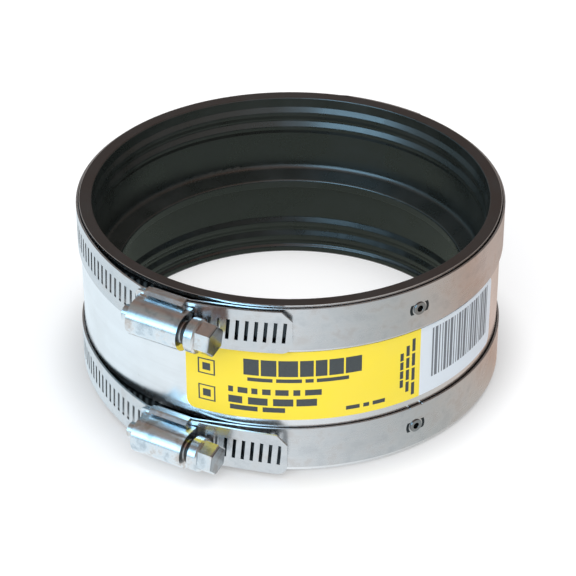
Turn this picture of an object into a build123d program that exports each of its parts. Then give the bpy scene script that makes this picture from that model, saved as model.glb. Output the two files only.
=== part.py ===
"""Shielded pipe coupling: a ribbed rubber sleeve inside a thin stainless shield, held by two
worm drive band clamps. Millimetres, +Z up along the bore, origin at the centre of the lower end.
The worm screws lie along X on the -Y side, and their heads point to +X."""
from build123d import *
import math
import os

os.makedirs("parts", exist_ok=True)

# Sleeve and the pipes that it joins
sleeve_length = 55.0
upper_pipe_radius = 57.15
lower_pipe_radius = 55.63
pipe_clearance = 0.12

# Rubber gasket
gasket_wall = 4.18
rib_height = 0.8
rib_base = 4.4
rib_land = 1.0
rib_gap = 0.6
rib_round = 0.8
rib_start = 3.2
rib_count = 2
mouth_round = 0.5
lower_lip_height = 1.6
stop_reach = 4.25
stop_root = 5.4
stop_tip = 2.8
stop_root_round = 1.8
stop_tip_round = 0.7

# Rolled shield
shield_gap = 0.1
shield_sheet = 0.25
lap_angle = 24.0
joggle_angle = 2.0
lap_gap = 0.03

# Strip of the clamps
band_width = 13.2
band_sheet = 0.55
upper_inset = 0.75
lower_inset = 1.35
band_gap = 0.04
fixed_stand_off = 1.1
fixed_end_x = -6.4
fixed_bend_x = 5.8
fixed_bend_round = 5.0
loop_start_angle = 41.5
loop_lead_angle = 18.5
loop_lead_stand_off = 1.85
loop_bend_round = 4.5
tail_bend_x = 5.3
tail_bend_round = 6.0
tail_cut = 3.0
tail_corner_round = 3.2

# Slots that the worm drives
slot_pitch = 2.6
slot_width = 1.0
slot_height = 6.5
slot_lean = 5.0
slot_count = 48

# Saddle channel
saddle_sheet = 0.6
seat_gap = 0.03
saddle_left_x = -6.9
saddle_right_x = 5.5
saddle_side_gap = 0.1
saddle_bend_round = 0.6
hem_gap = 0.1
hem_reach = 0.85
hem_rise = 1.0

# Housing
housing_sheet = 0.8
barrel_inner_radius = 4.55
barrel_left_x = -8.5
barrel_right_x = 7.8
end_wall = 0.8
flange_sheet = 0.8
flange_gap = 0.2
flange_margin = 0.3
flange_left_x = -10.3
flange_right_x = 5.3
flange_corner_round = 1.0
foot_round = 0.9

# Worm screw
worm_radius = 4.05
worm_clearance = 0.07
worm_root_radius = 3.1
worm_crest = 0.75
worm_foot = 1.55
worm_sink = 0.15
worm_left_x = -7.4
thread_left_x = -6.5
thread_turns = 4.5
journal_left_x = 6.2
journal_radius = 3.3
pilot_radius = 2.3
pilot_end_x = -11.8
bearing_clearance = 0.06
collar_radius = 4.9
collar_gap = 1.6
collar_thickness = 3.4
collar_chamfer = 0.5
hex_across_flats = 7.94
hex_height = 4.5
hex_turn = 45.0
hex_chamfer = 0.5

# Eyelet
rivet_angle = 65.0
rivet_hole_radius = 0.95
rivet_barrel_radius = 1.4
rivet_flange_radius = 1.95
rivet_flange = 0.35
rivet_flange_round = 0.12
rivet_fit = 0.03
rivet_seat_gap = 0.01
rivet_pocket_gap = 0.1
crescent_radius = 2.5
crescent_width = 0.55
crescent_angle = 70.0

# Label
label_sheet = 0.12
label_gap = 0.01
label_start_angle = 2.5
label_end_angle = 99.5
label_lower_margin = 2.65
label_upper_margin = 1.15
label_round = 2.6

# The two clamps: name, height of the strip's middle, the tail's lift, round and sweep, and the
# distance from its end to the last slot
clamps = (
    ("upper", sleeve_length - upper_inset - band_width / 2, 11.8, 100.0, 16.2, 2.2),
    ("lower", lower_inset + band_width / 2, 11.8, 240.0, 6.5, 2.3),
)

# Radii and distances that follow
upper_land_radius = upper_pipe_radius + pipe_clearance
lower_land_radius = lower_pipe_radius + pipe_clearance
upper_wall_radius = upper_land_radius + rib_height
lower_wall_radius = lower_land_radius + rib_height
gasket_outer_radius = max(upper_land_radius, lower_land_radius) + gasket_wall
stop_radius = min(upper_land_radius, lower_land_radius) - stop_reach
middle = sleeve_length / 2
shield_inner_radius = gasket_outer_radius + shield_gap
shield_outer_radius = shield_inner_radius + shield_sheet
band_inner_radius = shield_outer_radius + lap_gap + shield_sheet + band_gap
band_radius = band_inner_radius + band_sheet / 2
band_outer_radius = band_inner_radius + band_sheet
fixed_line = band_radius + fixed_stand_off
saddle_line = fixed_line + band_sheet / 2 + seat_gap + saddle_sheet / 2
free_line = saddle_line + saddle_sheet / 2 + seat_gap + band_sheet / 2
screw_line = free_line + band_sheet / 2 + worm_clearance + worm_radius
barrel_outer_radius = barrel_inner_radius + housing_sheet
flange_reach = band_width / 2 - flange_margin
flange_bottom = -worm_radius - worm_clearance + flange_gap
flange_top = flange_bottom + flange_sheet
collar_left_x = barrel_right_x + collar_gap
hex_left_x = collar_left_x + collar_thickness


def around(angle, radius, height=0.0):
    """A point at an angle round the bore, counted from -Y towards +X."""
    turn = math.radians(angle)
    return Vector(radius * math.sin(turn), -radius * math.cos(turn), height)


def outward_plane(angle, radius, height):
    """A plane on the sleeve's side that faces outwards, its X axis round the bore."""
    turn = math.radians(angle)
    return Plane(
        origin=around(angle, radius, height),
        x_dir=(math.cos(turn), math.sin(turn), 0),
        z_dir=(math.sin(turn), -math.cos(turn), 0),
    )


def section_plane(x, height):
    """A plane across a worm screw: local X points up, and local Y away from the sleeve."""
    return Plane(origin=(x, -screw_line, height), x_dir=(0, 0, 1), z_dir=(1, 0, 0))


def rib_points(height, wall, land):
    """The corners of one sealing rib, from its upper flank to its lower one."""
    return [
        (wall, height + rib_base / 2),
        (land, height + rib_land / 2),
        (land, height - rib_land / 2),
        (wall, height - rib_base / 2),
    ]


def strip_line(tail_lift, tail_round, tail_sweep):
    """The middle line of a clamp's strip, from its fixed end round the sleeve to its free tail."""
    bend = Vector(fixed_bend_x, -fixed_line)
    seat_angle = math.degrees(math.atan2(bend.X, -bend.Y) + math.acos(band_radius / bend.length))
    loop_turn = loop_start_angle - loop_lead_angle
    loop_cos = math.cos(math.radians(loop_turn))
    lead_distance = band_radius + loop_lead_stand_off
    loop_round = (lead_distance - band_radius * loop_cos) / (1 - loop_cos)
    lead = math.radians(loop_lead_angle)
    corner_x = -(lead_distance - free_line * math.cos(lead)) / math.sin(lead)
    with BuildLine() as line:
        FilletPolyline((fixed_end_x, -fixed_line), bend, around(seat_angle, band_radius), radius=fixed_bend_round)
        seated = CenterArc((0, 0), band_radius, seat_angle - 90, 360 - loop_start_angle - seat_angle)
        loop = JernArc(seated @ 1, seated % 1, loop_round, loop_turn)
        run = FilletPolyline(loop @ 1, (corner_x, -free_line), (tail_bend_x, -free_line), radius=loop_bend_round)
        rise = JernArc(run @ 1, run % 1, tail_bend_round, tail_lift)
        JernArc(rise @ 1, rise % 1, tail_round, tail_sweep)
    return line.wire()


# Gasket: the profile runs down the bore and back up the outside
rib_depths = [rib_start + rib_base / 2 + i * (rib_base + rib_gap) for i in range(rib_count)]
upper_ribs = [sleeve_length - depth for depth in rib_depths]
lower_ribs = rib_depths[::-1]
bore_points = [(upper_wall_radius, sleeve_length)]
for rib in upper_ribs:
    bore_points += rib_points(rib, upper_wall_radius, upper_land_radius)
bore_points += [
    (upper_wall_radius, middle + stop_root / 2),
    (stop_radius, middle + stop_tip / 2),
    (stop_radius, middle - stop_tip / 2),
    (lower_wall_radius, middle - stop_root / 2),
]
for rib in lower_ribs:
    bore_points += rib_points(rib, lower_wall_radius, lower_land_radius)
bore_points += [
    (lower_wall_radius, lower_lip_height + rib_height),
    (lower_land_radius, lower_lip_height),
    (lower_land_radius, 0),
    (gasket_outer_radius, 0),
    (gasket_outer_radius, sleeve_length),
]
rib_heights = upper_ribs + lower_ribs + [lower_lip_height]

with BuildPart() as gasket:
    with BuildSketch(Plane.XZ) as profile:
        with BuildLine():
            Polyline(*bore_points, close=True)
        make_face()
        tips = profile.vertices().filter_by(lambda v: v.X < stop_radius + 0.1)
        fillet(tips, stop_tip_round)
        inside = profile.vertices().filter_by(lambda v: v.X < gasket_outer_radius - 0.1)
        roots = inside.filter_by(lambda v: abs(abs(v.Y - middle) - stop_root / 2) < 0.1)
        fillet(roots, stop_root_round)
        inside = profile.vertices().filter_by(lambda v: v.X < gasket_outer_radius - 0.1)
        ribs = inside.filter_by(lambda v: min(abs(v.Y - h) for h in rib_heights) < rib_base / 2 + 0.1)
        fillet(ribs.filter_by(lambda v: v.Y > 0.1), rib_round)
        inside = profile.vertices().filter_by(lambda v: v.X < gasket_outer_radius - 0.1)
        mouth = inside.filter_by(lambda v: v.Y > sleeve_length - 0.1)
        fillet(mouth, mouth_round)
    revolve(axis=Axis.Z)
    for _, height, *_ in clamps:
        with BuildSketch(outward_plane(rivet_angle, shield_inner_radius, height)):
            Circle(rivet_flange_radius + 2 * rivet_pocket_gap)
        extrude(amount=-(rivet_flange + 2 * rivet_pocket_gap), mode=Mode.SUBTRACT)
gasket.part.label = "gasket"
export_step(gasket.part, "parts/gasket.step")

# Shield: one sheet rolled round the gasket, its outer end stepped over the inner one at the back
shield_radius = shield_inner_radius + shield_sheet / 2
lap_radius = shield_radius + shield_sheet + lap_gap
roll_start = 90.0 + lap_angle / 2
roll_angle = 360.0 - 2 * joggle_angle
with BuildPart() as shield:
    with BuildSketch():
        with BuildLine():
            roll = CenterArc((0, 0), shield_radius, roll_start, -roll_angle)
            lap = CenterArc((0, 0), lap_radius, roll_start + joggle_angle, -lap_angle)
            Line(roll @ 1, lap @ 0)
        trace(line_width=shield_sheet)
    extrude(amount=sleeve_length)
    for _, height, *_ in clamps:
        with BuildSketch(outward_plane(rivet_angle, shield_inner_radius, height)):
            Circle(rivet_barrel_radius + rivet_fit)
        extrude(amount=2 * shield_sheet, both=True, mode=Mode.SUBTRACT)
shield.part.label = "shield"
export_step(shield.part, "parts/shield.step")

# Label: a thin curved sheet with rounded corners
with BuildPart() as label:
    label_bottom = clamps[1][1] + band_width / 2 + label_lower_margin
    label_top = clamps[0][1] - band_width / 2 - label_upper_margin
    with BuildSketch(Plane.XY.offset(label_bottom)):
        with BuildLine():
            label_radius = shield_outer_radius + label_gap + label_sheet / 2
            CenterArc((0, 0), label_radius, label_start_angle - 90, label_end_angle - label_start_angle)
        trace(line_width=label_sheet)
    extrude(amount=label_top - label_bottom)
    fillet(label.edges().filter_by(lambda e: e.length < 2 * label_sheet), label_round)
label.part.label = "label"
export_step(label.part, "parts/label.step")

for name, height, tail_lift, tail_round, tail_sweep, slot_margin in clamps:
    line = strip_line(tail_lift, tail_round, tail_sweep)

    # Strip, with its slots, its rivet hole and the two crescents beside it
    with BuildPart() as band:
        with BuildSketch(Plane.XY.offset(height - band_width / 2)):
            trace(line, line_width=band_sheet)
        extrude(amount=band_width)
        ends = band.edges().filter_by(lambda e: e.length < 2 * band_sheet)
        tail_end = ends.sort_by_distance(line @ 1 + Vector(0, 0, height))[:2]
        fillet(tail_end.sort_by(Axis.Z)[0], tail_corner_round)
        ends = band.edges().filter_by(lambda e: e.length < 2 * band_sheet)
        tail_top = ends.filter_by(lambda e: e.center().Z > height)
        chamfer(tail_top.sort_by_distance(line @ 1 + Vector(0, 0, height))[0], tail_cut)
        for i in range(slot_count):
            place = line.length - slot_margin - i * slot_pitch
            at = line.position_at(place, position_mode=PositionMode.LENGTH)
            along = line.tangent_at(place, position_mode=PositionMode.LENGTH)
            with BuildSketch(Plane(at + Vector(0, 0, height), x_dir=along, z_dir=along.cross(Vector(0, 0, 1)))):
                Rectangle(slot_width, slot_height, rotation=-slot_lean)
            extrude(amount=band_sheet, both=True, mode=Mode.SUBTRACT)
        with BuildSketch(outward_plane(rivet_angle, band_radius, height)):
            Circle(rivet_barrel_radius + rivet_fit)
            for start in (-crescent_angle / 2, 180 - crescent_angle / 2):
                SlotArc(CenterArc((0, 0), crescent_radius, start, crescent_angle), crescent_width)
        extrude(amount=band_sheet, both=True, mode=Mode.SUBTRACT)
    band.part.label = name + "_band"
    export_step(band.part, "parts/" + name + "_band.step")

    # Saddle: the channel between the strip's two ends, its sides folded over the housing's flanges
    side = band_width / 2 + saddle_side_gap + saddle_sheet / 2
    hem = side - hem_reach
    floor = saddle_line - screw_line
    fold = flange_top + hem_gap
    with BuildPart() as saddle:
        with BuildSketch(section_plane(saddle_left_x, height)):
            with BuildLine():
                near = [(-hem, fold + hem_rise), (-side, fold), (-side, floor)]
                far = [(side, floor), (side, fold), (hem, fold + hem_rise)]
                FilletPolyline(*near, *far, radius=saddle_bend_round)
            trace(line_width=saddle_sheet)
        extrude(amount=saddle_right_x - saddle_left_x)
    saddle.part.label = name + "_saddle"
    export_step(saddle.part, "parts/" + name + "_saddle.step")

    # Housing: flanges and a U shaped barrel pressed from one sheet, a bearing hole in each end wall
    with BuildPart() as housing:
        with BuildSketch(section_plane(barrel_left_x, height)) as omega:
            Circle(barrel_outer_radius)
            with Locations((0, flange_bottom / 2)):
                Rectangle(2 * barrel_outer_radius, -flange_bottom)
            with Locations((0, flange_bottom - barrel_outer_radius / 2)):
                Rectangle(2 * barrel_outer_radius, barrel_outer_radius, mode=Mode.SUBTRACT)
        extrude(amount=barrel_right_x - barrel_left_x)
        with BuildSketch(section_plane(barrel_left_x, height)) as foot:
            add(omega.sketch_local)
            with Locations((0, flange_top - flange_sheet / 2)):
                Rectangle(2 * flange_reach, flange_sheet)
            corners = foot.vertices().filter_by(lambda v: abs(v.Y - flange_top) < 0.01)
            fillet(corners.filter_by(lambda v: abs(v.X) < flange_reach - 0.1), foot_round)
        extrude(amount=flange_right_x - barrel_left_x)
        with BuildSketch(section_plane(barrel_left_x + end_wall, height)):
            Circle(barrel_inner_radius)
            with Locations((0, flange_bottom / 2)):
                Rectangle(2 * barrel_inner_radius, -flange_bottom)
        extrude(amount=barrel_right_x - barrel_left_x - 2 * end_wall, mode=Mode.SUBTRACT)
        with BuildSketch(section_plane(barrel_left_x, height)):
            with Locations((0, flange_top - flange_sheet / 2)):
                Rectangle(2 * flange_reach, flange_sheet)
        extrude(amount=flange_left_x - barrel_left_x)
        corners = housing.edges().filter_by(Axis.Y).filter_by(lambda e: abs(e.center().X - flange_left_x) < 0.01)
        fillet(corners, flange_corner_round)
        with BuildSketch(section_plane(barrel_left_x, height)):
            Circle(pilot_radius + bearing_clearance)
        extrude(amount=end_wall, mode=Mode.SUBTRACT)
        with BuildSketch(section_plane(barrel_right_x, height)):
            Circle(journal_radius + bearing_clearance)
        extrude(amount=-end_wall, mode=Mode.SUBTRACT)
    housing.part.label = name + "_housing"
    export_step(housing.part, "parts/" + name + "_housing.step")

    # Worm screw: turned blank, hex head and thread
    blank = [
        (pilot_end_x, 0),
        (pilot_end_x, pilot_radius),
        (worm_left_x, pilot_radius),
        (worm_left_x, worm_root_radius),
        (journal_left_x, worm_root_radius),
        (journal_left_x, journal_radius),
        (collar_left_x, journal_radius),
        (collar_left_x, collar_radius - collar_chamfer),
        (collar_left_x + collar_chamfer, collar_radius),
        (hex_left_x - collar_chamfer, collar_radius),
        (hex_left_x, collar_radius - collar_chamfer),
        (hex_left_x, 0),
    ]
    with BuildPart() as screw:
        axis_plane = Plane.XY.offset(height).shift_origin((0, -screw_line, height))
        with BuildSketch(axis_plane):
            with BuildLine():
                Polyline(*blank, close=True)
            make_face()
        revolve(axis=Axis((0, -screw_line, height), (1, 0, 0)))
        with BuildSketch(section_plane(hex_left_x, height)):
            RegularPolygon(hex_across_flats / 2, 6, major_radius=False, rotation=hex_turn)
        extrude(amount=hex_height)
        chamfer(screw.faces().sort_by(Axis.X)[-1].edges(), hex_chamfer)
        thread_start = (thread_left_x, -screw_line, height)
        with BuildLine():
            thread_line = Helix(slot_pitch, thread_turns * slot_pitch, worm_root_radius, thread_start, (1, 0, 0))
        start = thread_line @ 0
        outward = start - Vector(*thread_start)
        with BuildSketch(Plane(start, x_dir=outward, z_dir=thread_line % 0)):
            with BuildLine():
                crest = worm_radius - worm_root_radius
                low = [(-worm_sink, -worm_foot / 2), (-worm_sink, worm_foot / 2)]
                high = [(crest, worm_crest / 2), (crest, -worm_crest / 2)]
                Polyline(*low, *high, close=True)
            make_face()
        sweep(path=thread_line, is_frenet=True)
    screw.part.label = name + "_screw"
    export_step(screw.part, "parts/" + name + "_screw.step")

    # Rivet: a hollow eyelet, its axis pointing outwards from the bore
    inner_seat = math.sqrt(shield_inner_radius**2 - rivet_flange_radius**2) - rivet_seat_gap
    outer_seat = band_outer_radius + rivet_seat_gap
    eyelet = [
        (rivet_hole_radius, inner_seat - rivet_flange),
        (rivet_flange_radius, inner_seat - rivet_flange),
        (rivet_flange_radius, inner_seat),
        (rivet_barrel_radius, inner_seat),
        (rivet_barrel_radius, outer_seat),
        (rivet_flange_radius, outer_seat),
        (rivet_flange_radius, outer_seat + rivet_flange),
        (rivet_hole_radius, outer_seat + rivet_flange),
    ]
    side_plane = outward_plane(rivet_angle, 0, height)
    with BuildPart() as rivet:
        with BuildSketch(Plane(side_plane.origin, x_dir=side_plane.x_dir, z_dir=(0, 0, -1))):
            with BuildLine():
                Polyline(*eyelet, close=True)
            make_face()
        revolve(axis=Axis(side_plane.origin, side_plane.z_dir))
        rims = rivet.edges().filter_by(GeomType.CIRCLE).filter_by(lambda e: e.radius < rivet_flange_radius + 0.01)
        top = rims.filter_by(lambda e: e.arc_center.dot(side_plane.z_dir) > outer_seat + rivet_flange - 0.01)
        fillet(top, rivet_flange_round)
    rivet.part.label = name + "_rivet"
    export_step(rivet.part, "parts/" + name + "_rivet.step")
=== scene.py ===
"""Shielded pipe coupling: finishes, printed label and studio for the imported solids.

Run as a script. The frame gives the solids, and this file gives them their looks."""

import math

import bpy
from bpy.props import FloatProperty, FloatVectorProperty, PointerProperty
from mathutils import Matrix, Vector


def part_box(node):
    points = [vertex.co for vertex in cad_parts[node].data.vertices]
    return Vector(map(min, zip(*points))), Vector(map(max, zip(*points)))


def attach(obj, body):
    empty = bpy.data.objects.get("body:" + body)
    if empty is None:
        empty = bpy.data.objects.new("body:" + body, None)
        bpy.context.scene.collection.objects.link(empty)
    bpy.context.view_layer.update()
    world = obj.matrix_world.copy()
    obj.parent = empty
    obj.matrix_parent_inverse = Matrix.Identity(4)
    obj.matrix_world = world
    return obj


bl_info = {
    "name": "Shielded Pipe Coupling",
    "version": (1, 0, 0),
    "blender": (4, 5, 0),
    "location": "View3D > Sidebar > Coupling",
    "description": "Finishes, printed label and studio for a shielded pipe coupling",
    "category": "Object",
}

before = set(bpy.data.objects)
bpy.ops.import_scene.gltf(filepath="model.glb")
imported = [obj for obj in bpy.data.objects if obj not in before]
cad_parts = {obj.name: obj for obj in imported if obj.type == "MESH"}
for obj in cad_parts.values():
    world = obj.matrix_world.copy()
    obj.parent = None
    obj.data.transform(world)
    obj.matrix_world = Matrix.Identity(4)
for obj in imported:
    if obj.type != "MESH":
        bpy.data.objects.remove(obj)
bpy.ops.object.select_all(action="DESELECT")
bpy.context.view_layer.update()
MM = 0.001

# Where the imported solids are
SLEEVE_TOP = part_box("gasket")[1].z
SLEEVE_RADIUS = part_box("gasket")[1].x
LABEL_RADIUS = max(v.co.xy.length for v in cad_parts["label"].data.vertices)
STRIP_BOXES = (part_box("upper_band"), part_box("lower_band"))
STRIP_HEIGHTS = [(low.z + high.z) / 2 for low, high in STRIP_BOXES]
STRIP_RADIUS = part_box("upper_band")[1].y
HOUSING_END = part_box("upper_housing")[1].x
SCREW_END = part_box("upper_screw")[1].x

# How much of the fine streaks and of the wide ones a brushed grain has, and how wide these are
STREAK_SHARE = 0.5
WIDE_STREAK_SCALE = 0.12

# The noise levels where a smudge begins and is fully there
SMUDGE_START = 0.42
SMUDGE_FULL = 0.68

# Rubber: its dust, its trimmed end face and the rings that the trimming leaves there
CLEAN_RUBBER_DROP = 0.03
RUBBER_SMUDGE_ROUGHNESS = 0.12
DUST_AMOUNT = 0.2
DUST_TINT = (0.04, 0.045, 0.045)
SKIN_GLOSS = 0.95
END_FACE_HEIGHT = SLEEVE_TOP - 0.15 * MM
END_FACE_ROUGHNESS = 0.12
END_FACE_GLOSS_DROP = -0.6
RING_WAVES = 9000.0
RING_RELIEF = 0.35

# Steel: its grain, its smudges, its mottled tint and the painted shade where places lie in shade
CLEAN_STEEL_DROP = 0.06
GRAIN_ROUGHNESS = 0.12
GRAIN_AMOUNT = 0.35
GRAIN_TINT = (0.42, 0.42, 0.43)
STEEL_SMUDGE_ROUGHNESS = 0.06
SMUDGE_AMOUNT = 0.18
SMUDGE_TINT = (0.55, 0.54, 0.52)
PAINTED_SHADE_TINT = (0.035, 0.045, 0.05)
MOTTLE_TINTS = (
    (0.34, (0.42, 0.52, 0.60)), (0.45, (0.78, 0.88, 0.94)),
    (0.55, (0.92, 0.94, 0.95)), (0.66, (0.62, 0.49, 0.40)),
)

# The shield's part under a strip, painted in shade, to each side of the strip's middle
STRIP_REACH = 6.2 * MM

# The strip's lower turn, painted in shade where it is seen through the slots of its tail
LOWER_TURN_RADIUS = STRIP_RADIUS + 0.15 * MM
LOWER_TAIL_END = math.radians(28.0)
UPPER_TAIL_LEAD = math.radians(2.3)
SLOT_REACH = 4.4 * MM
SLOT_DROP = 1.0 * MM

# Painted shade in a band round the crescents that are cut in the strip beside its rivet
RIVET_ANGLE = math.radians(65.0)
CRESCENT_RADIUS = 2.8 * MM
CRESCENT_WIDTH = 0.45 * MM
CRESCENT_REACH = 1.6 * MM

# Painted shade on the screw's journal between housing and collar, and the end face of its hex
# painted darker
NECK_MIDDLE = HOUSING_END + 0.9 * MM
NECK_REACH = 0.7 * MM
NECK_SHADE = 0.9
END_DEPTH = 0.2 * MM
END_SHADE = 0.6

# Rows of printed bars: start and end angles in degrees, then bottom and top in millimetres
PRINT_ROWS = (
    (((18.4, 22.4), (22.9, 26.9), (27.4, 32.4), (32.9, 36.4), (36.9, 39.9), (40.4, 44.2),
      (44.7, 49.0)), 31.7, 37.0),
    (((19.4, 25.9), (26.8, 33.4), (34.3, 36.4), (37.2, 45.6)), 29.7, 30.9),
    (((14.3, 15.6), (16.8, 19.4), (20.4, 22.0), (23.2, 25.4), (26.6, 30.0), (31.2, 33.0),
      (34.2, 38.5)), 25.4, 27.3),
    (((14.3, 18.0), (19.5, 24.6), (26.0, 31.2), (32.0, 37.3)), 21.8, 24.2),
    (((14.7, 22.0), (23.3, 29.1)), 19.6, 21.2),
    (((44.9, 48.6), (49.6, 51.2), (52.2, 55.7)), 19.3, 20.6),
)

# Columns of small bars at the printed field's end: angle in degrees, bottom and top in millimetres
PRINT_COLUMNS = ((60.0, 22.3, 34.3), (61.8, 20.3, 36.4), (63.6, 18.7, 38.3))
COLUMN_WIDTH = 1.0
COLUMN_BARS = 4
COLUMN_FILL = 0.85

# Square frames with a block inside: the heights of their middles, and rows measured from there
FRAME_HEIGHTS = (32.2, 23.4)
FRAME_ROWS = (
    (((6.0, 10.8),), 2.2, 2.6),
    (((6.0, 10.8),), -2.6, -2.2),
    (((6.0, 6.4), (10.4, 10.8)), -2.2, 2.2),
    (((7.3, 9.5),), -1.2, 1.2),
)

# Upright bars on the unprinted field: widths and gaps in degrees, repeated round the sleeve
UPRIGHT_WIDTHS = ((0.55, 0.45), (1.0, 0.5), (0.4, 0.7), (0.35, 0.5), (0.9, 0.45))
UPRIGHT_START = 70.3
UPRIGHT_LAST_START = 96.8
UPRIGHT_END = 97.0
UPRIGHT_BOTTOM = 22.0
UPRIGHT_TOP = 38.4

# Degrees round the bore that one flat face of a bar spans
BAR_FACE_ANGLE = 1.5

# The label's wear, and the places where its ink is thin
WEAR_AMOUNT = 0.05
WEAR_TINT = (0.6, 0.55, 0.4)
THIN_INK_AMOUNT = 0.3
THIN_INK_TINT = (0.12, 0.13, 0.13)

# Lights: name, place, power in watts and tint
LIGHTS = (
    ("Key Light", (0.3, 0.1, 1.2), 6.0, (1.0, 1.0, 1.0)),
    ("Fill Light", (0.1, -1.1, 0.8), 8.5, (0.99, 0.99, 1.0)),
)
LIGHT_SIDE = 0.9
LIGHT_AIM = (0, 0, 0.03)

# Camera: its sensor's width in millimetres, its picture's shift in widths and its range in metres
SENSOR_WIDTH = 36.0
PICTURE_SHIFT = (-0.0045, -0.0332)
CLIP_START = 0.01
CLIP_END = 50.0

# Floor: the place inside the bore, where a raised glow is painted light, the painted shadow where
# the sleeve stands, the glow that only the camera sees, the matte tint, and the tint that glossy
# rays see inside the bore
BORE_FLOOR_RADIUS = SLEEVE_RADIUS - 6 * MM
SHADE_START_RADIUS = SLEEVE_RADIUS - 4 * MM
SHADE_END_RADIUS = SLEEVE_RADIUS + 15 * MM
SHADE_LEVEL = 0.70
FLOOR_GLOW = 0.32
BORE_FLOOR_PAINTED_GLOW = 0.12
FLOOR_TINT = (0.64, 0.64, 0.64)
BORE_FLOOR_TINT = (0.28, 0.33, 0.28)

# What glossy rays see, as places and colours: of the floor round the bore, of the surround round
# the bore, and of the surround by its height
FLOOR_TINTS = (
    (0.0, (0.50, 0.50, 0.52)), (0.12, (0.88, 0.98, 1.05)), (0.30, (0.95, 1.08, 1.16)),
    (0.50, (1.0, 1.06, 1.10)), (0.56, (0.78, 0.82, 0.84)), (0.62, (0.64, 0.66, 0.65)),
    (0.68, (0.68, 0.62, 0.57)), (0.735, (0.63, 0.47, 0.39)), (0.78, (0.70, 0.57, 0.51)),
    (0.815, (0.64, 0.52, 0.46)), (0.90, (0.46, 0.40, 0.37)), (1.0, (0.50, 0.50, 0.52)),
)
SKY_TINTS = (
    (0.0, (0.34, 0.30, 0.28)), (0.20, (0.34, 0.52, 0.60)), (0.31, (0.46, 0.60, 0.70)),
    (0.45, (0.75, 0.78, 0.80)), (0.60, (0.50, 0.45, 0.42)), (0.80, (0.22, 0.17, 0.14)),
    (1.0, (0.34, 0.30, 0.28)),
)
SKY_LEVELS = (
    (0.0, (1.0, 1.0, 1.0)), (0.35, (0.8, 0.8, 0.8)), (0.60, (0.7, 0.7, 0.7)),
    (0.75, (0.80, 0.52, 0.42)), (1.0, (0.95, 0.62, 0.50)),
)

# The surround's light, and the window in it: where each edge begins and is fully bright
SURROUND_TINT = (0.97, 0.98, 1.0)
SURROUND_LEVEL = 0.80
WINDOW_TURNS = ((0.475, 0.44), (0.31, 0.34))
WINDOW_HEIGHTS = ((0.12, 0.22), (0.86, 0.72))
WINDOW_TINT = (2.0, 3.5, 4.7)

BLACK = (0, 0, 0)
WHITE = (1, 1, 1)


class CouplingRubber(bpy.types.PropertyGroup):
    """Colours of the moulded rubber sleeve"""

    bore: FloatVectorProperty(
        name="Bore", description="Colour of the moulded bore", subtype="COLOR",
        size=3, min=0, max=1, default=(0.009, 0.012, 0.011),
    )
    end_face: FloatVectorProperty(
        name="End Face", description="Colour of the trimmed end face", subtype="COLOR",
        size=3, min=0, max=1, default=(0.022, 0.016, 0.014),
    )
    roughness: FloatProperty(
        name="Roughness", description="Roughness of the moulded skin", min=0, max=1, default=0.30,
    )


class CouplingSteel(bpy.types.PropertyGroup):
    """Colours of the steel pieces"""

    shield: FloatVectorProperty(
        name="Shield", description="Colour of the rolled shield", subtype="COLOR",
        size=3, min=0, max=1, default=(0.88, 0.88, 0.885),
    )
    strip: FloatVectorProperty(
        name="Strip", description="Colour of the slotted strips", subtype="COLOR",
        size=3, min=0, max=1, default=(0.62, 0.62, 0.625),
    )
    pressed: FloatVectorProperty(
        name="Pressed", description="Colour of the saddles and housings", subtype="COLOR",
        size=3, min=0, max=1, default=(0.66, 0.68, 0.70),
    )
    screw: FloatVectorProperty(
        name="Screw", description="Colour of the screws and rivets", subtype="COLOR",
        size=3, min=0, max=1, default=(0.66, 0.66, 0.66),
    )


class CouplingPrint(bpy.types.PropertyGroup):
    """Colours and places of the printed label"""

    paper: FloatVectorProperty(
        name="Paper", description="Colour of the unprinted field", subtype="COLOR",
        size=3, min=0, max=1, default=(0.70, 0.77, 0.84),
    )
    field: FloatVectorProperty(
        name="Field", description="Colour of the printed field", subtype="COLOR",
        size=3, min=0, max=1, default=(0.93, 0.74, 0.045),
    )
    ink: FloatVectorProperty(
        name="Ink", description="Colour of the printed bars", subtype="COLOR",
        size=3, min=0, max=1, default=(0.035, 0.045, 0.05),
    )
    bar_ink: FloatVectorProperty(
        name="Pale Ink", description="Colour of the bars on the unprinted field", subtype="COLOR",
        size=3, min=0, max=1, default=(0.16, 0.18, 0.21),
    )
    field_end: FloatProperty(
        name="Field End", description="Angle round the bore where the printed field ends",
        subtype="ANGLE", default=math.radians(66.3),
    )
    ink_lift: FloatProperty(
        name="Ink Lift", description="Height of the ink over the label", subtype="DISTANCE",
        unit="LENGTH", default=0.02 * MM,
    )


class CouplingStudio(bpy.types.PropertyGroup):
    """Camera and floor of the studio"""

    azimuth: FloatProperty(
        name="Azimuth", description="Angle of the camera round the bore", subtype="ANGLE",
        default=math.radians(30.5),
    )
    elevation: FloatProperty(
        name="Elevation", description="Angle of the camera above the floor", subtype="ANGLE",
        default=math.radians(32.12),
    )
    distance: FloatProperty(
        name="Distance", description="Distance from the target to the camera", subtype="DISTANCE",
        unit="LENGTH", default=681.3 * MM,
    )
    target_height: FloatProperty(
        name="Target Height", description="Height of the point the camera aims at",
        subtype="DISTANCE", unit="LENGTH", default=27.95 * MM,
    )
    lens: FloatProperty(
        name="Lens", description="Focal length in millimetres", min=1, default=142.6,
    )
    floor_size: FloatProperty(
        name="Floor Size", description="Length of the floor's side", subtype="DISTANCE",
        unit="LENGTH", default=6.0,
    )


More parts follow.
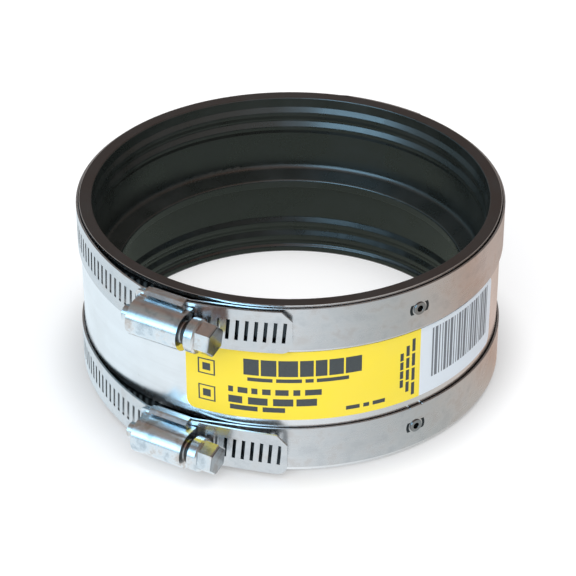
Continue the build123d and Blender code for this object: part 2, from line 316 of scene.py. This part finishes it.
class ShaderSheet:
    """Adds shader nodes to a material's or a group's tree and links them."""

    def __init__(self, tree):
        self.tree = tree

    def add(self, kind, inputs=None, **settings):
        node = self.tree.nodes.new(kind)
        for key, value in settings.items():
            setattr(node, key, value)
        for key, value in (inputs or {}).items():
            if isinstance(value, bpy.types.NodeSocket):
                self.tree.links.new(value, node.inputs[key])
            else:
                node.inputs[key].default_value = value
        return node

    def math(self, operation, *values):
        node = self.add("ShaderNodeMath", dict(enumerate(values)), operation=operation)
        return node.outputs[0]

    def scaled(self, value, amount):
        return self.math("MULTIPLY", value, amount)

    def mix(self, factor, low, high, blend="MIX"):
        inputs = {"Factor": factor, 6: low, 7: high}
        node = self.add("ShaderNodeMix", inputs, data_type="RGBA", blend_type=blend)
        return node.outputs[2]

    def noise(self, vector, scale, detail=3.0, roughness=0.5):
        inputs = {"Vector": vector, "Scale": scale, "Detail": detail, "Roughness": roughness}
        return self.add("ShaderNodeTexNoise", inputs).outputs["Fac"]

    def group(self, tree, inputs=None):
        return self.add("ShaderNodeGroup", inputs, node_tree=tree).outputs

    def ramp(self, factor, stops):
        """A colour ramp with its stops given as place and colour."""
        node = self.add("ShaderNodeValToRGB", {"Fac": factor})
        elements = node.color_ramp.elements
        for element, (place, tint) in zip(elements, (stops[0], stops[-1])):
            element.position, element.color = place, colour(tint)
        for place, tint in stops[1:-1]:
            elements.new(place).color = colour(tint)
        return node.outputs["Color"]

    def object_place(self):
        return self.add("ShaderNodeTexCoord").outputs["Object"]

    def shown_to(self, ray, otherwise, shader):
        """Shows a shader to one kind of ray, and another shader to the rest."""
        node = self.add("ShaderNodeMixShader", {0: ray, 1: otherwise, 2: shader})
        return node.outputs[0]


def colour(value):
    """A colour with its alpha."""
    return (*value, 1.0)


def start_group(name, inputs, outputs):
    """A new shader group with named sockets; returns its tree, its sheet and its two end nodes."""
    tree = bpy.data.node_groups.new(name, "ShaderNodeTree")
    for label, kind in inputs:
        tree.interface.new_socket(label, in_out="INPUT", socket_type=kind)
    for label, kind in outputs:
        tree.interface.new_socket(label, in_out="OUTPUT", socket_type=kind)
    sheet = ShaderSheet(tree)
    return tree, sheet, sheet.add("NodeGroupInput"), sheet.add("NodeGroupOutput")


def around_bore_group():
    """Angle round the bore, height, radius and the unrolled sheet's coordinates, in metres."""
    outputs = [("Unrolled", "NodeSocketVector"), ("Angle", "NodeSocketFloat"),
               ("Height", "NodeSocketFloat"), ("Radius", "NodeSocketFloat")]
    tree, sheet, _, end = start_group("Around The Bore", [], outputs)
    parts = sheet.add("ShaderNodeSeparateXYZ", {0: sheet.object_place()}).outputs
    minus_y = sheet.scaled(parts["Y"], -1.0)
    angle = sheet.math("ARCTAN2", parts["X"], minus_y)
    square = sheet.math("ADD", sheet.math("MULTIPLY", parts["X"], parts["X"]),
                        sheet.math("MULTIPLY", parts["Y"], parts["Y"]))
    radius = sheet.math("SQRT", square)
    along = sheet.scaled(angle, SLEEVE_RADIUS)
    unrolled = sheet.add("ShaderNodeCombineXYZ", {"X": along, "Y": parts["Z"], "Z": radius})
    for name, socket in (("Unrolled", unrolled.outputs[0]), ("Angle", angle),
                         ("Height", parts["Z"]), ("Radius", radius)):
        tree.links.new(socket, end.inputs[name])
    return tree


def brushed_grain_group():
    """Rolling grain: long fine streaks along the vector's first axis, as a height and a mask."""
    inputs = [("Vector", "NodeSocketVector"), ("Fineness", "NodeSocketFloat"),
              ("Stretch", "NodeSocketFloat")]
    outputs = [("Height", "NodeSocketFloat"), ("Streaks", "NodeSocketFloat")]
    tree, sheet, start, end = start_group("Brushed Grain", inputs, outputs)
    parts = sheet.add("ShaderNodeSeparateXYZ", {0: start.outputs["Vector"]}).outputs
    along = sheet.math("DIVIDE", parts["X"], start.outputs["Stretch"])
    flat = sheet.add("ShaderNodeCombineXYZ", {"X": along, "Y": parts["Y"], "Z": parts["Z"]})
    fine = sheet.noise(flat.outputs[0], start.outputs["Fineness"], detail=4.0, roughness=0.65)
    coarse = sheet.scaled(start.outputs["Fineness"], WIDE_STREAK_SCALE)
    wide = sheet.noise(flat.outputs[0], coarse, detail=2.0)
    streaks = sheet.math("ADD", sheet.scaled(fine, STREAK_SHARE), sheet.scaled(wide, STREAK_SHARE))
    tree.links.new(fine, end.inputs["Height"])
    tree.links.new(streaks, end.inputs["Streaks"])
    return tree


def handling_group():
    """Faint smudges from handling, as a mask from 0 to 1."""
    inputs = [("Vector", "NodeSocketVector"), ("Size", "NodeSocketFloat")]
    outputs = [("Mask", "NodeSocketFloat")]
    tree, sheet, start, end = start_group("Handling Smudges", inputs, outputs)
    soft = sheet.noise(start.outputs["Vector"], start.outputs["Size"], detail=5.0, roughness=0.6)
    fade = {"Value": soft, "From Min": SMUDGE_START, "From Max": SMUDGE_FULL}
    mask = sheet.add("ShaderNodeMapRange", fade)
    tree.links.new(mask.outputs[0], end.inputs["Mask"])
    return tree


def shader_groups():
    """The shared shader groups, made on first use."""
    makers = {
        "bore": ("Around The Bore", around_bore_group),
        "grain": ("Brushed Grain", brushed_grain_group),
        "smudges": ("Handling Smudges", handling_group),
    }
    made = bpy.data.node_groups
    return {key: made.get(name) or make() for key, (name, make) in makers.items()}


def start_material(name, rough, metal=0.0):
    """A material with a Principled shader; returns the material, its sheet and its shader."""
    material = bpy.data.materials.new(name)
    material.use_nodes = True
    sheet = ShaderSheet(material.node_tree)
    shader = material.node_tree.nodes["Principled BSDF"]
    shader.inputs["Roughness"].default_value = rough
    shader.inputs["Metallic"].default_value = metal
    return material, sheet, shader


def finish_shader(sheet, shader, sockets):
    """Links colours, masks and normals to a shader's named inputs."""
    for name, socket in sockets.items():
        sheet.tree.links.new(socket, shader.inputs[name])


def bump(sheet, height, strength, distance):
    """A normal from a height."""
    inputs = {"Height": height, "Strength": strength, "Distance": distance}
    return sheet.add("ShaderNodeBump", inputs).outputs[0]


def rubber_material(settings, groups):
    """Moulded rubber: a dark satin skin, and a browner trimmed end face with fine rings."""
    material, sheet, shader = start_material("Moulded Rubber", settings.roughness)
    bore = sheet.group(groups["bore"])
    end = sheet.math("GREATER_THAN", bore["Height"], END_FACE_HEIGHT)
    smudge = sheet.group(groups["smudges"], {"Vector": bore["Unrolled"], "Size": 90.0})["Mask"]
    skin = sheet.mix(end, colour(settings.bore), colour(settings.end_face))
    dusty = sheet.mix(sheet.scaled(smudge, DUST_AMOUNT), skin, colour(DUST_TINT))
    rough = sheet.math("ADD", settings.roughness - CLEAN_RUBBER_DROP,
                       sheet.scaled(smudge, RUBBER_SMUDGE_ROUGHNESS))
    rough = sheet.math("ADD", rough, sheet.scaled(end, END_FACE_ROUGHNESS))
    rings = sheet.math("SINE", sheet.scaled(bore["Radius"], RING_WAVES))
    rings = sheet.scaled(sheet.math("MULTIPLY", rings, end), RING_RELIEF)
    height = sheet.math("ADD", rings, sheet.noise(bore["Unrolled"], scale=2600.0))
    gloss = sheet.math("MULTIPLY_ADD", end, END_FACE_GLOSS_DROP, SKIN_GLOSS)
    finish_shader(sheet, shader, {
        "Base Color": dusty, "Roughness": rough, "Specular IOR Level": gloss,
        "Normal": bump(sheet, height, strength=0.06, distance=0.05 * MM),
    })
    return material


def steel_material(name, tint, groups, rough, fineness, stretch,
                   round_bore=True, mottle=0.0, painted_shade_places=None):
    """Rolled or pressed stainless steel with a grain, smudges, a mottled tint and painted shade in
    places.
    """
    material, sheet, shader = start_material(name, rough, metal=1.0)
    bore = sheet.group(groups["bore"])
    vector = bore["Unrolled"] if round_bore else sheet.object_place()
    look = {"Vector": vector, "Fineness": fineness, "Stretch": stretch}
    grain = sheet.group(groups["grain"], look)
    smudge = sheet.group(groups["smudges"], {"Vector": vector, "Size": 60.0})["Mask"]
    base = colour(tint)
    if mottle:
        patches = sheet.noise(vector, scale=190.0, detail=4.0, roughness=0.6)
        base = sheet.mix(mottle, base, sheet.ramp(patches, MOTTLE_TINTS))
    base = sheet.mix(sheet.scaled(grain["Streaks"], GRAIN_AMOUNT), base, colour(GRAIN_TINT))
    base = sheet.mix(sheet.scaled(smudge, SMUDGE_AMOUNT), base, colour(SMUDGE_TINT))
    # Painted shade: the given places are darkened towards the shade tint
    if painted_shade_places:
        base = sheet.mix(painted_shade_places(sheet, bore), base, colour(PAINTED_SHADE_TINT))
    varied = sheet.math("ADD", rough - CLEAN_STEEL_DROP,
                        sheet.scaled(grain["Streaks"], GRAIN_ROUGHNESS))
    varied = sheet.math("ADD", varied, sheet.scaled(smudge, STEEL_SMUDGE_ROUGHNESS))
    finish_shader(sheet, shader, {
        "Base Color": base, "Roughness": varied,
        "Normal": bump(sheet, grain["Height"], strength=0.10, distance=0.03 * MM),
    })
    return material


def off_middle(sheet, bore, drop=0.0):
    """Distance along the bore from the nearer strip's middle, or from a drop below it."""
    gaps = [
        sheet.math("ABSOLUTE", sheet.math("SUBTRACT", bore["Height"], middle - drop))
        for middle in STRIP_HEIGHTS
    ]
    return sheet.math("MINIMUM", *gaps)


def shade_under_strips(sheet, bore):
    """Painted shade on the shield under the strips, which only shows through their slots."""
    return sheet.math("LESS_THAN", off_middle(sheet, bore), STRIP_REACH)


def strip_shade(sheet, bore):
    """Painted shade on the strip's lower turn under its slotted tail, and in a band round the
    crescents by the rivet.
    """
    # Painted shade on the strip's lower turn, under the slotted tail
    under = sheet.math("LESS_THAN", bore["Radius"], LOWER_TURN_RADIUS)
    upper = sheet.math("GREATER_THAN", bore["Height"], SLEEVE_TOP / 2)
    tail_end = sheet.math("MULTIPLY_ADD", upper, UPPER_TAIL_LEAD, LOWER_TAIL_END)
    for mask in (sheet.math("GREATER_THAN", bore["Angle"], 0.0),
                 sheet.math("LESS_THAN", bore["Angle"], tail_end),
                 sheet.math("LESS_THAN", off_middle(sheet, bore, SLOT_DROP), SLOT_REACH)):
        under = sheet.math("MULTIPLY", under, mask)
    # Painted shade in a ring round the rivet's crescents
    off = off_middle(sheet, bore)
    along = sheet.scaled(sheet.math("SUBTRACT", bore["Angle"], RIVET_ANGLE), STRIP_RADIUS)
    square = sheet.math("ADD", sheet.math("MULTIPLY", along, along),
                        sheet.math("MULTIPLY", off, off))
    ring = sheet.math("COMPARE", sheet.math("SQRT", square), CRESCENT_RADIUS, CRESCENT_WIDTH)
    crescents = sheet.math("MULTIPLY", ring, sheet.math("LESS_THAN", off, CRESCENT_REACH))
    return sheet.math("MAXIMUM", under, crescents)


def screw_shade(sheet, bore):
    """Painted shade on the screw's journal between housing and collar, and its end face painted
    darker to dim its reflection.
    """
    along = sheet.add("ShaderNodeSeparateXYZ", {0: sheet.object_place()}).outputs["X"]
    # Painted shade on the journal in the gap
    neck = sheet.math("COMPARE", along, NECK_MIDDLE, NECK_REACH)
    # The hex's end face painted darker
    end = sheet.math("GREATER_THAN", along, SCREW_END - END_DEPTH)
    return sheet.math("MAXIMUM", sheet.scaled(neck, NECK_SHADE), sheet.scaled(end, END_SHADE))


def label_material(settings, groups):
    """Coated label: a printed field, an unprinted one, and a faint coating grain."""
    material, sheet, shader = start_material("Coated Label", rough=0.42)
    bore = sheet.group(groups["bore"])
    plain = sheet.math("GREATER_THAN", bore["Angle"], settings.field_end)
    smudge = sheet.group(groups["smudges"], {"Vector": bore["Unrolled"], "Size": 70.0})["Mask"]
    base = sheet.mix(plain, colour(settings.field), colour(settings.paper))
    worn = sheet.mix(sheet.scaled(smudge, WEAR_AMOUNT), base, colour(WEAR_TINT))
    fibre = sheet.noise(bore["Unrolled"], scale=3500.0)
    finish_shader(sheet, shader, {
        "Base Color": worn, "Normal": bump(sheet, fibre, strength=0.06, distance=0.03 * MM),
    })
    return material


def ink_material(name, tint, groups):
    """Printed ink: flat and slightly uneven."""
    material, sheet, shader = start_material(name, rough=0.5)
    uneven = sheet.noise(sheet.group(groups["bore"])["Unrolled"], scale=1800.0, detail=2.0)
    mixed = sheet.mix(sheet.scaled(uneven, THIN_INK_AMOUNT), colour(tint), colour(THIN_INK_TINT))
    finish_shader(sheet, shader, {"Base Color": mixed})
    return material


def dress(node_name, material):
    """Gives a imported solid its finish."""
    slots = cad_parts[node_name].data.materials
    slots.clear()
    slots.append(material)


class COUPLING_OT_rubber(bpy.types.Operator):
    """Finish the moulded rubber sleeve"""

    bl_idname = "coupling.rubber"
    bl_label = "Finish Rubber"

    def execute(self, context):
        dress("gasket", rubber_material(context.scene.coupling_rubber, shader_groups()))
        return {"FINISHED"}


class COUPLING_OT_steel(bpy.types.Operator):
    """Finish the shield, the strips and the pressed and turned pieces"""

    bl_idname = "coupling.steel"
    bl_label = "Finish Steel"

    def execute(self, context):
        settings = context.scene.coupling_steel
        groups = shader_groups()
        shield = steel_material(
            "Rolled Shield Steel", settings.shield, groups,
            rough=0.20, fineness=1500.0, stretch=40.0, painted_shade_places=shade_under_strips,
        )
        strip = steel_material(
            "Slotted Strip Steel", settings.strip, groups,
            rough=0.24, fineness=1900.0, stretch=40.0, mottle=0.15, painted_shade_places=strip_shade,
        )
        pressed = steel_material(
            "Pressed Steel", settings.pressed, groups,
            rough=0.18, fineness=900.0, stretch=6.0, round_bore=False, mottle=0.6,
        )
        turned = steel_material(
            "Turned Steel", settings.screw, groups, rough=0.20, fineness=1200.0, stretch=3.0,
            round_bore=False, mottle=0.5, painted_shade_places=screw_shade,
        )
        dress("shield", shield)
        for clamp in ("upper", "lower"):
            dress(clamp + "_band", strip)
            dress(clamp + "_saddle", pressed)
            dress(clamp + "_housing", pressed)
            dress(clamp + "_screw", turned)
            dress(clamp + "_rivet", turned)
        return {"FINISHED"}


def outward(angle):
    """The direction away from the bore at an angle round it, counted from -Y towards +X."""
    return Vector((math.sin(angle), -math.cos(angle), 0))


def printed_bar(start, end, bottom, top, lift):
    """One curved bar of ink on the label, from its start angle to its end angle."""
    tangent = outward(start + math.pi / 2)
    middle = Vector((0, 0, (bottom + top) / 2))
    side = top - bottom
    place = outward(start) * (LABEL_RADIUS + lift) + tangent * side / 2 + middle
    bpy.ops.mesh.primitive_plane_add(size=side, location=place, rotation=(math.pi / 2, 0, start))
    bar = bpy.context.object
    bpy.ops.object.transform_apply(location=True, rotation=True, scale=True)
    # Only the plane's upright edge at the start angle stays, and is spun round the bore
    for vertex in bar.data.vertices:
        vertex.select = vertex.co.dot(tangent) > side / 2
    for polygon in bar.data.polygons:
        polygon.select = False
    for edge in bar.data.edges:
        edge.select = all(bar.data.vertices[i].select for i in edge.vertices)
    bpy.ops.object.mode_set(mode="EDIT")
    bpy.ops.mesh.delete(type="VERT")
    bpy.ops.mesh.select_all(action="SELECT")
    steps = max(1, round(math.degrees(end - start) / BAR_FACE_ANGLE))
    bpy.ops.mesh.spin(steps=steps, angle=start - end, center=(0, 0, 0), axis=(0, 0, 1))
    bpy.ops.object.mode_set(mode="OBJECT")
    return bar


def printed_row(spans, bottom, top, lift):
    """A row of bars, from angles in degrees and heights in millimetres."""
    return [
        printed_bar(math.radians(start), math.radians(end), bottom * MM, top * MM, lift)
        for start, end in spans
    ]


def field_rows():
    """All rows on the printed field: the lines of bars, the columns and the square frames."""
    rows = list(PRINT_ROWS)
    for angle, bottom, top in PRINT_COLUMNS:
        rise = (top - bottom) / COLUMN_BARS
        for step in range(COLUMN_BARS):
            low, high = bottom + step * rise, bottom + (step + COLUMN_FILL) * rise
            rows.append((((angle, angle + COLUMN_WIDTH),), low, high))
    for middle in FRAME_HEIGHTS:
        for spans, low, high in FRAME_ROWS:
            rows.append((spans, middle + low, middle + high))
    return rows


def upright_spans():
    """Start and end angles of the upright bars, in degrees."""
    spans = []
    angle = UPRIGHT_START
    while angle < UPRIGHT_LAST_START:
        for width, gap in UPRIGHT_WIDTHS:
            end = min(angle + width, UPRIGHT_END)
            if angle < UPRIGHT_LAST_START:
                spans.append((angle, end))
            angle = end + gap
    return spans


def join_print(pieces, name, material):
    """Joins bars into one piece of ink that rides on the sleeve."""
    bpy.ops.object.select_all(action="DESELECT")
    for piece in pieces:
        piece.select_set(True)
    bpy.context.view_layer.objects.active = pieces[0]
    bpy.ops.object.join()
    ink = bpy.context.object
    ink.name = name
    bpy.ops.object.mode_set(mode="EDIT")
    bpy.ops.mesh.select_all(action="SELECT")
    bpy.ops.mesh.remove_doubles(threshold=0.001 * MM)
    bpy.ops.object.mode_set(mode="OBJECT")
    for polygon in ink.data.polygons:
        if polygon.normal.dot(polygon.center * Vector((1, 1, 0))) < 0:
            polygon.flip()
    bpy.ops.object.origin_set(type="ORIGIN_CURSOR")
    ink.data.materials.clear()
    ink.data.materials.append(material)
    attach(ink, "sleeve")
    bpy.ops.object.select_all(action="DESELECT")


class COUPLING_OT_print(bpy.types.Operator):
    """Finish the label and lay plain bars and blocks of ink on it"""

    bl_idname = "coupling.print"
    bl_label = "Print Label"

    def execute(self, context):
        settings = context.scene.coupling_print
        groups = shader_groups()
        dress("label", label_material(settings, groups))
        bars = []
        for row in field_rows():
            bars += printed_row(*row, settings.ink_lift)
        join_print(bars, "label_print", ink_material("Printed Ink", settings.ink, groups))
        bars = printed_row(upright_spans(), UPRIGHT_BOTTOM, UPRIGHT_TOP, settings.ink_lift)
        join_print(bars, "label_bars", ink_material("Pale Ink", settings.bar_ink, groups))
        return {"FINISHED"}


def soft_light(name, place, power, tint):
    """A square studio light that points at the object and stays out of its reflections."""
    data = bpy.data.lights.new(name, "AREA")
    data.shape = "RECTANGLE"
    data.size = data.size_y = LIGHT_SIDE
    data.energy = power
    data.color = tint
    light = bpy.data.objects.new(name, data)
    bpy.context.scene.collection.objects.link(light)
    light.location = place
    light.rotation_mode = "QUATERNION"
    light.rotation_quaternion = (Vector(LIGHT_AIM) - Vector(place)).to_track_quat("-Z", "Y")
    light.visible_glossy = False


def round_the_studio(sheet, bore, azimuth):
    """Place round the bore from 0 to 1: 0.5 is the camera's side, and more is to its right."""
    turn = sheet.math("DIVIDE", sheet.math("SUBTRACT", bore["Angle"], azimuth), 2 * math.pi)
    return sheet.math("FRACT", sheet.math("ADD", turn, 0.5))


def floor_material(azimuth):
    """Pale floor: white to the camera, lamp shadows, a painted contact shadow and painted light in
    the bore, cool and warm greys in gloss.
    """
    material = bpy.data.materials.new("Studio Floor")
    material.use_nodes = True
    sheet = ShaderSheet(material.node_tree)
    material.node_tree.nodes.remove(material.node_tree.nodes["Principled BSDF"])
    seen = sheet.add("ShaderNodeLightPath").outputs
    bore = sheet.group(shader_groups()["bore"])
    inside = sheet.math("LESS_THAN", bore["Radius"], BORE_FLOOR_RADIUS)
    # Painted contact shadow: darker near the sleeve's foot, and none inside the bore
    fade = {"Value": bore["Radius"], "From Min": SHADE_START_RADIUS,
            "From Max": SHADE_END_RADIUS, "To Min": SHADE_LEVEL}
    painted_contact_shade = sheet.add("ShaderNodeMapRange", fade, interpolation_type="SMOOTHSTEP").outputs[0]
    painted_contact_shade = sheet.math("MAXIMUM", painted_contact_shade, inside)
    # Painted light: a raised glow on the floor inside the bore
    level = sheet.math("MULTIPLY_ADD", inside, BORE_FLOOR_PAINTED_GLOW, FLOOR_GLOW)
    strength = sheet.math("MULTIPLY", painted_contact_shade, level)
    light = {"Color": colour(WHITE), "Strength": strength}
    glow = sheet.add("ShaderNodeEmission", light).outputs[0]
    shade = sheet.mix(painted_contact_shade, colour(BLACK), colour(FLOOR_TINT))
    matte = sheet.add("ShaderNodeBsdfDiffuse", {"Color": shade}).outputs[0]
    lit = sheet.add("ShaderNodeAddShader", {0: matte, 1: glow}).outputs[0]
    tint = sheet.ramp(round_the_studio(sheet, bore, azimuth), FLOOR_TINTS)
    tint = sheet.mix(inside, tint, colour(BORE_FLOOR_TINT))
    gloss = sheet.add("ShaderNodeEmission", {"Color": tint, "Strength": 1.0}).outputs[0]
    shown = sheet.shown_to(seen["Is Camera Ray"], matte, lit)
    shown = sheet.shown_to(seen["Is Glossy Ray"], shown, gloss)
    sheet.tree.links.new(shown, material.node_tree.nodes["Material Output"].inputs["Surface"])
    return material


def studio_world(azimuth):
    """A pale surround: white to the camera, and a dark studio with a cool window to the gloss."""
    world = bpy.data.worlds.new("Studio Surround")
    bpy.context.scene.world = world
    world.use_nodes = True
    sheet = ShaderSheet(world.node_tree)
    back = world.node_tree.nodes["Background"]
    back.inputs["Color"].default_value = colour(SURROUND_TINT)
    back.inputs["Strength"].default_value = SURROUND_LEVEL
    seen = sheet.add("ShaderNodeLightPath").outputs
    bore = sheet.group(shader_groups()["bore"])
    turn = round_the_studio(sheet, bore, azimuth)
    level = sheet.ramp(bore["Height"], SKY_LEVELS)
    tint = sheet.mix(1.0, sheet.ramp(turn, SKY_TINTS), level, "MULTIPLY")
    window = 1.0
    for value, edges in ((turn, WINDOW_TURNS), (bore["Height"], WINDOW_HEIGHTS)):
        for dark, bright in edges:
            fade = {"Value": value, "From Min": dark, "From Max": bright}
            edge = sheet.add("ShaderNodeMapRange", fade).outputs[0]
            window = sheet.math("MULTIPLY", window, edge)
    tint = sheet.mix(window, tint, colour(WINDOW_TINT))
    gloss = sheet.add("ShaderNodeBackground", {"Color": tint, "Strength": 1.0}).outputs[0]
    white = sheet.add("ShaderNodeBackground", {"Color": colour(WHITE), "Strength": 1.0}).outputs[0]
    shown = sheet.shown_to(seen["Is Glossy Ray"], back.outputs[0], gloss)
    shown = sheet.shown_to(seen["Is Camera Ray"], shown, white)
    sheet.tree.links.new(shown, world.node_tree.nodes["World Output"].inputs["Surface"])


def photo_camera(settings):
    """The camera at the photo's place, aimed at the bore's axis."""
    azimuth, elevation = settings.azimuth, settings.elevation
    level = outward(azimuth) * math.cos(elevation)
    back = level + Vector((0, 0, math.sin(elevation)))
    data = bpy.data.cameras.new("Photo Camera")
    data.sensor_width = SENSOR_WIDTH
    data.lens = settings.lens
    data.shift_x, data.shift_y = PICTURE_SHIFT
    data.clip_start = CLIP_START
    data.clip_end = CLIP_END
    camera = bpy.data.objects.new("Photo Camera", data)
    bpy.context.scene.collection.objects.link(camera)
    camera.location = Vector((0, 0, settings.target_height)) + back * settings.distance
    camera.rotation_mode = "QUATERNION"
    camera.rotation_quaternion = (-back).to_track_quat("-Z", "Y")
    bpy.context.scene.camera = camera


class COUPLING_OT_studio(bpy.types.Operator):
    """Set up the floor, the surround, the lights and the camera"""

    bl_idname = "coupling.studio"
    bl_label = "Set Up Studio"

    def execute(self, context):
        settings = context.scene.coupling_studio
        bpy.ops.mesh.primitive_plane_add(size=settings.floor_size)
        floor = bpy.context.object
        floor.name = "studio_floor"
        floor.data.materials.append(floor_material(settings.azimuth))
        bpy.ops.object.select_all(action="DESELECT")
        studio_world(settings.azimuth)
        for light in LIGHTS:
            soft_light(*light)
        photo_camera(settings)
        context.scene.view_settings.view_transform = "Standard"
        return {"FINISHED"}


class COUPLING_PT_panel(bpy.types.Panel):
    """The coupling's sizes, colours and steps"""

    bl_label = "Pipe Coupling"
    bl_idname = "COUPLING_PT_panel"
    bl_space_type = "VIEW_3D"
    bl_region_type = "UI"
    bl_category = "Coupling"

    def draw(self, context):
        for name, group in GROUPS.items():
            box = self.layout.box()
            settings = getattr(context.scene, name)
            for key in group.__annotations__:
                box.prop(settings, key)
        for operator in OPERATORS:
            self.layout.operator(operator.bl_idname)


GROUPS = {
    "coupling_rubber": CouplingRubber,
    "coupling_steel": CouplingSteel,
    "coupling_print": CouplingPrint,
    "coupling_studio": CouplingStudio,
}
OPERATORS = (COUPLING_OT_rubber, COUPLING_OT_steel, COUPLING_OT_print, COUPLING_OT_studio)


def register():
    for group in GROUPS.values():
        bpy.utils.register_class(group)
    for name, group in GROUPS.items():
        setattr(bpy.types.Scene, name, PointerProperty(type=group))
    for cls in (*OPERATORS, COUPLING_PT_panel):
        bpy.utils.register_class(cls)


def unregister():
    for cls in reversed((*OPERATORS, COUPLING_PT_panel)):
        bpy.utils.unregister_class(cls)
    for name, group in GROUPS.items():
        delattr(bpy.types.Scene, name)
        bpy.utils.unregister_class(group)


def main():
    register()
    bpy.ops.coupling.rubber()
    bpy.ops.coupling.steel()
    bpy.ops.coupling.print()
    bpy.ops.coupling.studio()


if __name__ == "__main__":
    main()
